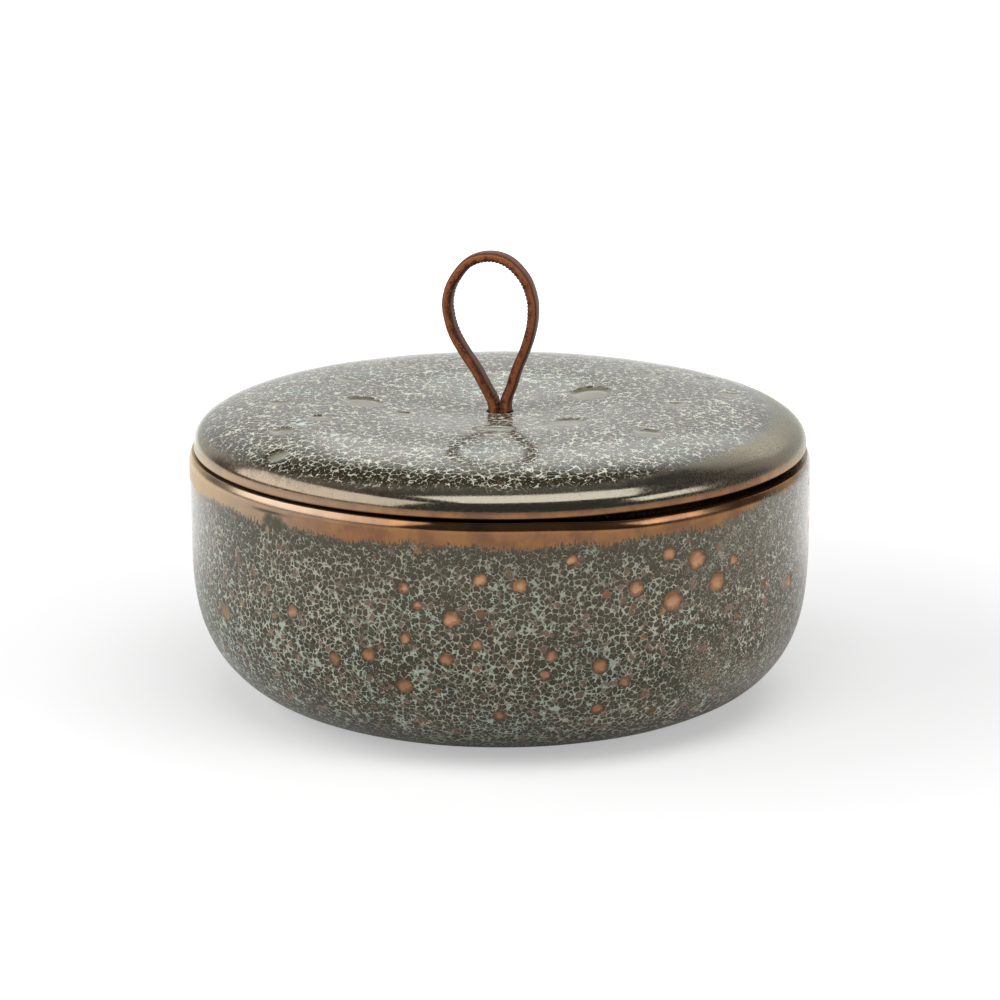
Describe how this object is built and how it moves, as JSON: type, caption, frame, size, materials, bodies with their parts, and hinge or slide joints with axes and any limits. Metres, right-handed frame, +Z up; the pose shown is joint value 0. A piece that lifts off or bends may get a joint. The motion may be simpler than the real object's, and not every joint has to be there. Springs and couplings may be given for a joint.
{
  "type": "lidded bowl",
  "caption": "Round glazed stoneware bowl with a drop-in lid and a standing leather lace loop that lifts it.",
  "frame": {"origin": "centre of the foot ring's flat underside, on the surface the bowl stands on", "axes": "+Z up through the middle of the lid, -Y towards the front, +X to the right seen from the front"},
  "size_m": [0.16, 0.16, 0.1161],
  "materials": {
    "reactive_glaze": "glossy crackled reactive glaze, olive brown under pale green grey, with metallic copper rims and spots",
    "leather": "brown vegetable tanned lace, smooth outside and fibrous on its cut edges"
  },
  "bodies": {
    "bowl": {"bowl": "reactive_glaze"},
    "lid": {"lid": "reactive_glaze", "lace_knot": "leather"},
    "loop": {"lace_loop": "leather"}
  },
  "joints": [
    {"name": "lid_lift", "type": "slide", "parent": "bowl", "child": "lid", "axis": [0, 0, 1], "range_m": [0, 0.09]},
    {"name": "loop_tilt", "type": "hinge", "parent": "lid", "child": "loop", "pos_m": [0, 0, 0.0769], "axis": [0.9744, -0.225, 0], "range_deg": [-80, 72], "stiffness_Nm_per_rad": 0.004}
  ]
}
